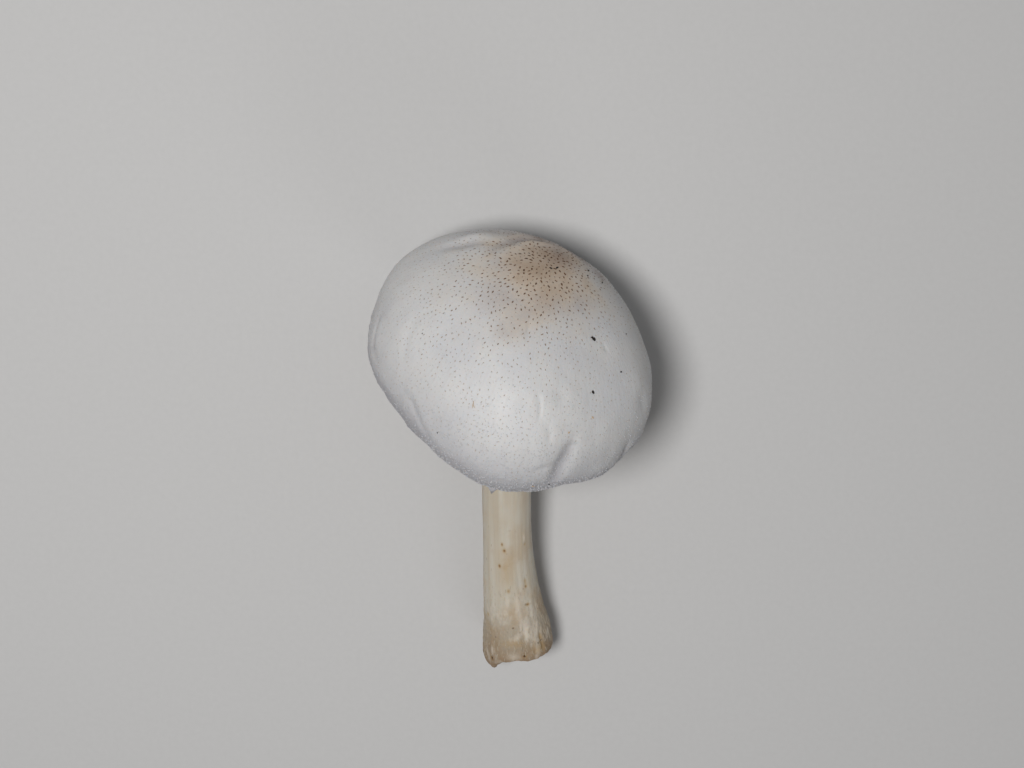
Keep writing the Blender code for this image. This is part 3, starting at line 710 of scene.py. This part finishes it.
def makeGillTree():
    tree = bpy.data.node_groups.new("gills hung from the flesh", "GeometryNodeTree")
    add = partial(addNode, tree)
    face = tree.interface
    face.new_socket("Ceiling", in_out="INPUT", socket_type="NodeSocketGeometry")
    face.new_socket("Count", in_out="INPUT", socket_type="NodeSocketInt").default_value = 200
    for label, value in (("Depth", 7 * mm), ("Thickness", 0.3 * mm), ("Second tier", 0.36),
                         ("Third tier", 0.64), ("Root sink", 0.4 * mm), ("Waviness", 0.2 * mm)):
        face.new_socket(label, in_out="INPUT", socket_type="NodeSocketFloat").default_value = value
    face.new_socket("Material", in_out="INPUT", socket_type="NodeSocketMaterial")
    face.new_socket("Gills", in_out="OUTPUT", socket_type="NodeSocketGeometry")
    given = tree.nodes.new("NodeGroupInput").outputs

    # one flat, numbered blade for each gill: X runs from the stem to the margin, Y hangs down, Z is thickness
    blade = add("GeometryNodeMeshCube", {
        "Size": (1, 1, 1), "Vertices X": 20, "Vertices Y": 5, "Vertices Z": 2})
    row = add("GeometryNodeMeshLine", {"Count": given["Count"], "Offset": (0, 0, 0)})
    copies = add("GeometryNodeInstanceOnPoints", {"Points": row, "Instance": blade})
    marked = add("GeometryNodeStoreNamedAttribute", {
        "Geometry": copies, "Name": "gill", "Value": add("GeometryNodeInputIndex")},
        data_type="FLOAT", domain="INSTANCE")
    real = add("GeometryNodeRealizeInstances", {"Geometry": marked})
    axes = add("ShaderNodeSeparateXYZ", {0: add("GeometryNodeInputPosition")}).outputs
    along = add("ShaderNodeMath", {0: axes["X"], 1: 0.5}, operation="ADD")
    hang = add("ShaderNodeMath", {0: axes["Y"], 1: 0.5}, operation="ADD")
    gill = add("GeometryNodeInputNamedAttribute", {"Name": "gill"}).outputs[0]

    # of every four gills one is long, one starts at the second tier and two at the third
    tier = add("ShaderNodeMath", {0: gill, 1: 4.0}, operation="MODULO")
    isLong = add("ShaderNodeMath", {0: tier, 1: 0.5}, operation="LESS_THAN")
    isSecond = add("ShaderNodeMath", {0: tier, 1: 2.0, 2: 0.1}, operation="COMPARE")
    start = add("ShaderNodeMix", {0: isSecond, 2: given["Third tier"], 3: given["Second tier"]})
    isShort = add("ShaderNodeMath", {0: 1.0, 1: isLong}, operation="SUBTRACT")
    start = add("ShaderNodeMath", {0: start, 1: isShort}, **times)
    chance = add("ShaderNodeTexWhiteNoise", {"W": gill}, noise_dimensions="1D").outputs["Value"]
    chance = add("ShaderNodeMath", {0: chance, 1: 0.5}, operation="SUBTRACT")
    spread = add("ShaderNodeMath", {0: start, 1: 0.22}, **times)
    start = add("ShaderNodeMath", {0: chance, 1: spread, 2: start}, **timesPlus)
    out = add("ShaderNodeMix", {0: along, 2: start, 3: 0.995})
    turn = add("ShaderNodeMath", {0: gill, 1: 0.5}, operation="ADD")
    turn = add("ShaderNodeMath", {0: turn, 1: given["Count"]}, operation="DIVIDE")

    # depth by the way out, with short gills rising from nothing and a slightly ragged edge
    profile = add("ShaderNodeFloatCurve", {"Value": out})
    points = profile.mapping.curves[0].points
    while len(points) < len(gillForm["profile"]):
        points.new(0.5, 0.5)
    for point, spot in zip(points, gillForm["profile"]):
        point.location = spot
    profile.mapping.update()
    rise = add("ShaderNodeMapRange", {0: along, 1: 0.0, 2: 0.3}, **smoothStep)
    rise = add("ShaderNodeMath", {0: rise, 1: isLong}, operation="MAXIMUM")
    shorter = add("ShaderNodeMix", {0: isLong, 2: 0.84, 3: 1.0})
    edgeAt = add("ShaderNodeMath", {0: out, 1: 9.0}, **times)
    edgeAt = add("ShaderNodeMath", {0: gill, 1: 7.3, 2: edgeAt}, **timesPlus)
    ragged = add("ShaderNodeTexNoise", {"W": edgeAt, "Scale": 1.0, "Detail": 2.0}, noise_dimensions="1D")
    ragged = add("ShaderNodeMapRange", {0: ragged, 1: 0.2, 2: 0.8, 3: 0.93, 4: 1.05}, **smoothStep)
    depth = given["Depth"]
    for share in (profile, rise, shorter, ragged):
        depth = add("ShaderNodeMath", {0: depth, 1: share}, **times)
    sink = add("ShaderNodeMath", {0: given["Root sink"], 1: -1.0}, **times)
    drop = add("ShaderNodeMix", {0: hang, 2: sink, 3: depth})

    # where the blade's points go: the ceiling is read at (turn, out) on its map
    spot = add("ShaderNodeCombineXYZ", {"X": turn, "Y": out})
    chart = add("GeometryNodeInputNamedAttribute", {"Name": "chart"}, data_type="FLOAT_VECTOR")
    found = []
    for value in (add("GeometryNodeInputPosition"),
                  add("GeometryNodeInputNamedAttribute", {"Name": "inwards"}, data_type="FLOAT_VECTOR"),
                  add("GeometryNodeInputNamedAttribute", {"Name": "sideways"}, data_type="FLOAT_VECTOR")):
        found.append(add("GeometryNodeSampleUVSurface", {
            "Mesh": given["Ceiling"], "Value": value, "UV Map": chart, "Sample UV": spot,
        }, data_type="FLOAT_VECTOR"))
    root, inwards, sideways = found
    swayAt = add("ShaderNodeMath", {0: out, 1: 5.0}, **times)
    swayAt = add("ShaderNodeMath", {0: gill, 1: 3.1, 2: swayAt}, **timesPlus)
    sway = add("ShaderNodeTexNoise", {"W": swayAt, "Scale": 1.0, "Detail": 1.0}, noise_dimensions="1D")
    sway = add("ShaderNodeMapRange", {0: sway, 1: 0.2, 2: 0.8, 3: -1.0, 4: 1.0}, **smoothStep)
    sway = add("ShaderNodeMath", {0: sway, 1: hang}, **times)
    sway = add("ShaderNodeMath", {0: sway, 1: given["Waviness"]}, **times)
    taper = add("ShaderNodeMix", {0: hang, 2: 1.15, 3: 0.7})
    aside = add("ShaderNodeMath", {0: axes["Z"], 1: taper}, **times)
    aside = add("ShaderNodeMath", {0: aside, 1: given["Thickness"], 2: sway}, **timesPlus)
    down = add("ShaderNodeVectorMath", {0: inwards, "Scale": drop}, operation="SCALE")
    across = add("ShaderNodeVectorMath", {0: sideways, "Scale": aside}, operation="SCALE")
    point = add("ShaderNodeVectorMath", {0: root, 1: down}, operation="ADD")
    point = add("ShaderNodeVectorMath", {0: point, 1: across}, operation="ADD")
    kept = add("GeometryNodeStoreNamedAttribute", {"Geometry": real, "Name": "hangShare", "Value": hang},
               data_type="FLOAT", domain="POINT")
    hung = add("GeometryNodeSetPosition", {"Geometry": kept, "Position": point})
    whole = add("GeometryNodeRealizeInstances", {"Geometry": hung})
    done = add("GeometryNodeSetMaterial", {"Geometry": whole, "Material": given["Material"]})
    add("NodeGroupOutput", {"Gills": done})
    return tree


# The stem: the CAD's middle line and flare, with fibres, felt and a torn foot

stemForm = {
    "foot": (1.3, -79.2, 7.513),  # from the cap's middle along the table, and up from the table
    "rise": 13.0,
    "turn": 5.8,
    "radius": 5.6,
    "footRadius": 9.2,
    "flare": 0.37,
    "around": 220,
    "rings": 400,
    "handles": (0.36, 0.34),  # how far the bend's handles reach, as shares of the whole length
    "topGap": 0.6,
    # the torn end, as (direction in degrees, length past the mean end in mm)
    "tear": (
        (0, -0.6), (10, -1.1), (20, -1.4), (27, -1.45), (33, -1.9), (38, -2.35),
        (44, -2.4), (51, -2.65), (59, -2.7), (66, -2.8), (72, -2.9), (77, -3.1),
        (82, -3.55), (88, -4.1), (95, -4.15), (100, -3.65), (105, -3.4), (110, -3.1),
        (116, -2.8), (122, -2), (127, -1.3), (132, -0.6), (139, 0.55), (146, 1.15),
        (152, 1.4), (160, 1.6), (172, 1.55), (185, 1.2), (205, 0.6), (225, 0.9),
        (250, 1.2), (275, 0.2), (300, -0.7), (325, -0.3), (345, -0.3),
    ),
}

# Marks on the stem: (mm from the foot, direction in degrees, half-length and half-width in mm, stain, lift
# in mm). A stain below zero is paler than the flesh, and one past 1.7 is a dark pit.
stemMarks = (
    (34.7, 104.7, 0.5, 0.3, 1.2, -0.1),
    (33.0, 99.8, 0.45, 0.4, 1.1, -0.12),
    (28.8, 112.9, 0.5, 0.35, 1.2, -0.12),
    (29.5, 96, 5.5, 2.6, 0.5, 0.0),
    (25.0, 95, 3.0, 2.0, 0.3, 0.0),
    (23.9, 54, 1.0, 0.5, 0.85, -0.12),
    (22.4, 54, 0.4, 0.4, 1.2, -0.12),
    (17.6, 55.6, 0.5, 0.6, 1.2, -0.12),
    (22.1, 94.9, 0.6, 0.5, 0.8, -0.08),
    (14.3, 148.9, 0.7, 0.4, 1.0, -0.08),
    (3.1, 137, 0.65, 0.35, 3.0, -0.35),
    (4.0, 76.9, 0.55, 0.35, 3.0, -0.35),
    (7.5, 42.5, 2.2, 0.4, 0.9, -0.35),
    (33.8, 46, 0.5, 0.4, 0.9, -0.1),
    (8.0, 92, 1.3, 3.5, 0.6, 0.0),
    (4.9, 48, 1.5, 2.0, 0.7, 0.0),
    (35.6, 47.5, 1.2, 0.35, -0.9, 0.12),
    (17.5, 78, 4.0, 0.9, -0.8, 0.1),
    (11.5, 66, 2.5, 1.1, -0.7, 0.12),
    (4.0, 95, 1.6, 2.2, -0.6, 0.1),
)


def stemLine():
    foot = np.array(capForm["origin"]) * (1, 1, 0) + np.array(stemForm["foot"])
    underFlesh = capForm["fleshAtDisc"] + stemForm["topGap"]
    top = onTable(capPoint(np.array([0.0]), np.array([0.0]), underFlesh))[0]
    axis = capTurn @ np.array([0, 0, 1.0])
    rise, turn = math.radians(stemForm["rise"]), math.radians(stemForm["turn"])
    start = np.array([-math.cos(rise) * math.sin(turn), math.cos(rise) * math.cos(turn), math.sin(rise)])
    reach = np.linalg.norm(top - foot)
    low, high = stemForm["handles"]
    return foot, foot + start * reach * low, top - axis * reach * high, top


def stemFrames(shares):
    a, b, c, d = stemLine()
    t = shares[:, None]
    middle = (1 - t) ** 3 * a + 3 * (1 - t) ** 2 * t * b + 3 * (1 - t) * t**2 * c + t**3 * d
    way = 3 * (1 - t) ** 2 * (b - a) + 6 * (1 - t) * t * (c - b) + 3 * t**2 * (d - c)
    way /= np.linalg.norm(way, axis=1)[:, None]
    side = np.array([1.0, 0, 0]) - way * way[:, :1]
    side /= np.linalg.norm(side, axis=1)[:, None]
    return middle, way, side, np.cross(side, way)


def tornFace(centre, way, rim, tear, shares):
    # the sunken, rough end of the foot, from its middle out to just inside the rim
    rings = []
    for share in shares:
        sunk = 2.2 * (1 - share**2.2)
        ring = centre + rim * share
        ring = ring - way * (tear * share**1.5 - sunk)[:, None]
        rings.append(ring - way * (0.75 * noiseOn(ring, 1.9, 31, 3) + 0.2 * noiseOn(ring, 0.6, 32))[:, None])
    return np.concatenate([(centre + way * 2.2)[None, :]] + rings[::-1])


def tearLengths(direction):
    bearings, lengths = np.array(stemForm["tear"]).T
    tear = np.interp(np.degrees(direction), bearings, lengths, period=360)
    rim = np.stack([np.cos(direction), np.sin(direction), 0 * direction], -1) * 8.5
    return tear + (0.22 * noiseOn(rim, 1.4, 11, 2) + 0.2 * noiseOn(rim, 0.6, 12))


def stemRelief(points, height, spread, low):
    # how far each point is lifted, in mm, and its stain
    wrap = np.stack([np.cos(spread) * 6, np.sin(spread) * 6, height * 0.07], -1)
    lift = 0.05 * noiseOn(wrap, 0.8, 21) + (0.1 + 0.14 * low) * noiseOn(wrap, 2.6, 22)  # fibres
    felt = 0.17 * noiseOn(points * (1, 0.45, 1), 1.3, 23, 2) + 0.10 * noiseOn(points, 0.8, 24)
    lift += low * felt
    lift += 0.12 * noiseOn(points, 9.0, 25)
    shaft = np.clip((height - 12) / 8, 0, 1) * np.clip((75 - height) / 8, 0, 1)
    # fuller on the left of the shaft, and on the right just above the foot
    lift += 0.4 * np.maximum(0, -np.cos(spread)) * shaft
    lift += 0.5 * np.maximum(0, np.cos(spread)) ** 2 * np.exp(-((height - 8.5) / 4.5) ** 2)
    cleftAt = np.stack([np.cos(spread) * 8, np.sin(spread) * 8, height * 0.15], -1)
    clefts = np.clip(noiseOn(cleftAt, 1.5, 26), 0.15, 1) - 0.15
    lift -= 0.2 * clefts * np.exp(-height / 3.5)
    stain = np.zeros(len(points))
    for spot, bearing, half, wide, strength, dent in stemMarks:
        off = (np.degrees(spread) - bearing + 180) % 360 - 180
        shape = np.exp(-((height - spot) / half) ** 2 - (np.radians(off) * 6.5 / wide) ** 2)
        stain += strength * shape
        lift += dent * shape
    return lift, stain


def makeStem(material):
    count = stemForm["around"]
    direction = np.linspace(0, 2 * math.pi, count, endpoint=False)
    tear = tearLengths(direction)
    shaft = np.linspace(0.036, 0.995, stemForm["rings"])
    shares = np.concatenate([[0.0, 0.002, 0.006, 0.012, 0.02, 0.028], shaft])
    scale = np.interp(shares, [0, 0.002, 0.006, 0.012, 0.02, 0.036], [0.80, 0.845, 0.895, 0.94, 0.975, 1.0])
    middle, way, side, over = stemFrames(shares)
    flare = np.maximum(0, 1 - shares / stemForm["flare"]) ** 2
    radius = (stemForm["radius"] + (stemForm["footRadius"] - stemForm["radius"]) * flare) * scale
    fromFoot = np.concatenate([[0], np.cumsum(np.linalg.norm(np.diff(middle, axis=0), axis=1))])

    ringShape = np.cos(direction)[:, None] * side[:, None, :] + np.sin(direction)[:, None] * over[:, None, :]
    grid = middle[:, None, :] + ringShape * radius[:, None, None]
    grid = grid - way[:, None, :] * (tear * np.exp(-fromFoot / 2.2)[:, None])[:, :, None]
    height = np.repeat(fromFoot, count)
    spread = np.tile(direction, len(shares))
    low = np.clip((30 - height) / 22, 0, 1)  # 1 near the foot, 0 from 30 mm up
    flat = grid.reshape(-1, 3)
    lift, stain = stemRelief(flat, height, spread, low)
    flat = flat + ringShape.reshape(-1, 3) * lift[:, None]

    faceShares = np.linspace(0.94, 0.05, 17)
    inner = tornFace(middle[0], way[0], ringShape[0] * radius[0], tear, faceShares)
    top = stemLine()[3]
    points = np.concatenate([inner, flat, top[None, :]])
    points[:, 2] = np.maximum(points[:, 2], 0.0)
    rings = len(faceShares) + len(shares)
    faces = fanFaces(0, 1, count) + ringFaces(1, rings, count)
    faces += fanFaces(len(points) - 1, 1 + (rings - 1) * count, count)

    zeros = np.zeros(len(inner))
    allSpread = np.concatenate([[0.0], np.tile(direction, len(faceShares)), spread, [0.0]])
    allHeight = np.concatenate([zeros, height, [fromFoot[-1]]])
    inwardShare = np.repeat(1 - faceShares[::-1], count)
    tornSide = np.clip(1 - height / 0.9, 0, 1) * 0.55
    torn = np.concatenate([[1.0], np.clip(0.6 + 0.9 * inwardShare, 0, 1), tornSide, [0.0]])
    fibrilShare = (0.1 + 0.9 * np.clip((34 - height) / 26, 0, 1)) * (height > 2.6) * (flat[:, 2] > 0.6)
    mesh = meshFrom("stemFlesh", points, faces, {
        "fromFoot": allHeight,
        "torn": torn,
        "stain": np.clip(np.concatenate([zeros, stain, [0.0]]), -1, 3),
        "streak": np.stack([np.cos(allSpread) * 17, np.sin(allSpread) * 17, allHeight * 0.16], -1),
        "lie": np.concatenate([np.tile(way[0], (len(inner), 1)), np.repeat(way, count, axis=0), way[-1:]]),
        "share": np.concatenate([zeros, fibrilShare, [0.0]]),
        "size": np.concatenate([zeros + 1, 0.8 + 0.5 * low, [1.0]]),
    })
    return showPiece("stemFlesh", mesh, material, ["stem"])


# Crumbs of soil and plant on the cap, each on the spot where the photograph has it

crumbSpots = (
    # (angle from the disc and direction in degrees, length, width and height in mm, turn in degrees, kind)
    (34.2, 312.0, 0.95, 0.7, 0.3, 20, "soil"),
    (33.4, 311.0, 0.6, 0.3, 0.25, 95, "soil"),
    (53.4, 303.8, 0.85, 0.5, 0.3, 30, "soil"),
    (49.8, 322.0, 0.5, 0.34, 0.2, 70, "soil"),
    (87.0, 248.8, 0.34, 0.26, 0.16, 0, "soil"),
    (109.0, 291.0, 0.36, 0.3, 0.2, 0, "soil"),
    (59.4, 220.3, 0.28, 0.22, 0.14, 0, "soil"),
    (27.4, 13.5, 0.5, 0.36, 0.2, 40, "soil"),
    (21.2, 23.8, 0.5, 0.4, 0.2, 10, "soil"),
    (18.6, 10.0, 0.4, 0.3, 0.2, 60, "soil"),
    (40.2, 339.8, 0.3, 0.24, 0.15, 0, "soil"),
    (4.0, 340.5, 1.0, 0.4, 0.2, 80, "soil"),
    (3.0, 300.0, 0.6, 0.36, 0.2, 30, "soil"),
    (65.8, 256.8, 1.5, 0.16, 0.12, 12, "bark"),
    (66.4, 257.4, 0.8, 0.14, 0.1, 50, "bark"),
    (67.6, 292.8, 0.45, 0.36, 0.16, 0, "bark"),
    (63.2, 302.8, 0.7, 0.34, 0.12, 50, "bark"),
    (108.0, 285.0, 0.8, 0.3, 0.15, 85, "bark"),
)


def makeCrumbs(kind, material):
    whole = bmesh.new()
    draw = np.random.default_rng(41 if kind == "soil" else 42)
    for angle, direction, long, wide, high, turn, sort in crumbSpots:
        if sort != kind:
            continue
        at = np.radians([[angle, direction], [angle + 0.5, direction]])
        spots = capPoint(at[:, 0], at[:, 1])
        normal = spots[0] - capPoint(at[:1, 0], at[:1, 1], 1.0)[0]
        lift = foldHeights(spots[:1])[0][0] + undulation(spots[:1])[0]
        ahead = (spots[1] - spots[0]) / np.linalg.norm(spots[1] - spots[0])
        across = np.cross(normal, ahead)
        c, s = math.cos(math.radians(turn)), math.sin(math.radians(turn))
        first, second = ahead * c + across * s, across * c - ahead * s
        lump = bmesh.new()
        bmesh.ops.create_icosphere(lump, subdivisions=2, radius=0.5)
        for vertex in lump.verts:
            dent = 1 + 0.3 * draw.uniform(-1, 1)
            x, y, z = vertex.co * dent
            local = spots[0] + first * x * long + second * y * wide + normal * (z * high + lift + 0.06)
            vertex.co = Vector(onTable(local[None, :])[0]) * mm
        bmesh.ops.recalc_face_normals(lump, faces=lump.faces)
        part = bpy.data.meshes.new("crumb")
        lump.to_mesh(part)
        lump.free()
        whole.from_mesh(part)
        bpy.data.meshes.remove(part)
    mesh = bpy.data.meshes.new(kind + "Crumbs")
    whole.to_mesh(mesh)
    whole.free()
    return showPiece(kind + "Crumbs", mesh, material)


# Floor, light and camera

stageLook = {
    "floor": "#c6c6c6", "floorPulp": "#cbcbcb", "world": 0.13, "aim": (0, 10 * mm, 20 * mm),
    "softbox": {"at": (-0.14, 0.13, 0.62), "size": 0.18, "power": 2.85, "colour": (1.0, 0.985, 0.97)},
    "fill": {"at": (0.28, -0.5, 0.34), "size": 0.35, "power": 0.45, "colour": (1.0, 1.0, 1.0)},
}


def makeFloor():
    material = makeMatt("pale matt card", stageLook["floor"], stageLook["floorPulp"], 1.4)
    mesh = bpy.data.meshes.new("floor")
    mesh.from_pydata([(-3, -3, 0), (3, -3, 0), (3, 3, 0), (-3, 3, 0)], [], [(0, 1, 2, 3)])
    mesh.materials.append(material)
    floor = bpy.data.objects.new("floor", mesh)
    bpy.context.scene.collection.objects.link(floor)


def makeLight(name):
    look = stageLook[name]
    light = bpy.data.lights.new(name, "AREA")
    light.shape = "DISK"
    light.size = look["size"]
    light.energy = look["power"]
    light.color = look["colour"]
    lamp = bpy.data.objects.new(name, light)
    bpy.context.scene.collection.objects.link(lamp)
    lamp.location = look["at"]
    lamp.rotation_euler = (Vector(stageLook["aim"]) - Vector(look["at"])).to_track_quat("-Z", "Y").to_euler()


def makeWorld():
    world = bpy.data.worlds.new("studio")
    world.use_nodes = True
    sky = world.node_tree.nodes["Background"].inputs
    sky["Color"].default_value = (1, 1, 1, 1)
    sky["Strength"].default_value = stageLook["world"]
    bpy.context.scene.world = world
    bpy.context.scene.view_settings.view_transform = "Standard"


# 75 degrees up on the cap's side, turned so that the stem points down the picture
photoView = {"at": (0.44 * mm, 114.25 * mm, 372.99 * mm), "tilt": -15.0, "lens": 56.0, "sensor": 36.0}


def makeCamera():
    camera = bpy.data.cameras.new("photographsView")
    camera.sensor_width = photoView["sensor"]
    camera.lens = photoView["lens"]
    camera.clip_start, camera.clip_end = 0.01, 20.0
    holder = bpy.data.objects.new("photographsView", camera)
    bpy.context.scene.collection.objects.link(holder)
    holder.location = photoView["at"]
    holder.rotation_euler = (math.radians(photoView["tilt"]), 0, 0)
    bpy.context.scene.camera = holder


makeCamera()
makeFloor()
makeLight("softbox")
makeLight("fill")
makeWorld()
print("camera, floor and lights placed")

capSkinLook = makeCapSkin()
cap = makeCap(capSkinLook)
print("cap made:", len(cap.data.polygons), "faces")

fleckTree = makeFleckTree()
scaleForm = {
    "Spacing": 0.92 * mm, "Most per area": 3.2e6, "Length": 0.64 * mm, "Width": 0.3 * mm,
    "Thickness": 0.14 * mm, "Unevenness": 0.5, "Turn": 0.9, "Seed": 4,
}
scaleTissue = makeScaleTissue()
capScales = growWithNodes("capScales", cap.data.copy(), fleckTree, scaleForm | {"Material": scaleTissue})
showPiece("capScales", capScales, scaleTissue)
print("cap scales laid:", len(capScales.polygons) // 24)

grainForm = {
    "Spacing": 0.3 * mm, "Most per area": 3.2e6, "Length": 0.4 * mm, "Width": 0.35 * mm,
    "Thickness": 0.24 * mm, "Unevenness": 0.45, "Turn": 1.0, "Seed": 6, "Sides": 5, "Bands": 3,
    "Share named": "grainShare", "Size named": "grainSize",
}
frost = makeFrost()
capGrains = growWithNodes("capGrains", cap.data.copy(), fleckTree, grainForm | {"Material": frost})
showPiece("capGrains", capGrains, frost)
makeFlap(capSkinLook)
print("margin frosted with", len(capGrains.polygons) // 15, "grains")

gillTissue = makeGillTissue()
gills = growWithNodes("gillBlades", gillCeiling(), makeGillTree(), {
    "Count": gillForm["count"], "Depth": gillForm["depth"] * mm, "Thickness": gillForm["thickness"] * mm,
    "Second tier": gillForm["secondTier"], "Third tier": gillForm["thirdTier"],
    "Root sink": gillForm["rootSink"] * mm, "Waviness": gillForm["waviness"] * mm, "Material": gillTissue})
showPiece("gillBlades", gills, gillTissue, ["gills"])
print("gills hung:", gillForm["count"])

stem = makeStem(makeStemFlesh())
fibril = makeMatt("pale stem fibrils", "#a89a84", "#c6bba8", 0.8)
fibrilForm = {
    "Spacing": 0.6 * mm, "Most per area": 0.7e6, "Length": 0.9 * mm, "Width": 0.13 * mm,
    "Thickness": 0.09 * mm, "Unevenness": 0.5, "Turn": 0.2, "Seed": 9,
}
stemFibrils = growWithNodes("stemFibrils", stem.data.copy(), fleckTree, fibrilForm | {"Material": fibril})
showPiece("stemFibrils", stemFibrils, fibril)
print("stem made, with", len(stemFibrils.polygons) // 24, "fibrils")

makeCrumbs("soil", makeMatt("damp black soil", "#0d0a08", "#2a211b", 0.3))
makeCrumbs("bark", makeMatt("rust-brown bark dust", "#ad9070", "#d0ba9c", 0.4))
print("crumbs scattered")
